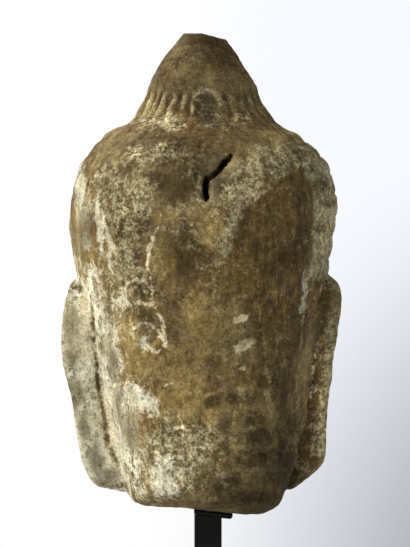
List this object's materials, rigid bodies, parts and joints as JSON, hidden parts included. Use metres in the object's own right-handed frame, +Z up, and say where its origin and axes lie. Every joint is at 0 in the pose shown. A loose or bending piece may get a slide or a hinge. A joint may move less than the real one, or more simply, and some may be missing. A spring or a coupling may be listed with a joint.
{
  "type": "stone buddha head on a mount",
  "caption": "Worn sandstone Buddha head with a conical topknot, a ring of petals, long ears and a broken neck, on a black square steel post with a square foot.",
  "frame": {"origin": "centre of the mount foot's underside, which is also the axis of the post", "axes": "+Z up along the post, -Y the way the face looks, +X to the head's own left"},
  "size_m": [0.2035, 0.2077, 0.4811],
  "materials": {
    "stone": "matte, weathered, with pale crust and brown patina",
    "post_steel": "satin black",
    "foot_steel": "satin black"
  },
  "bodies": {
    "root": {"stone_head": "stone", "mount_post": "post_steel", "mount_foot": "foot_steel"}
  },
  "joints": []
}
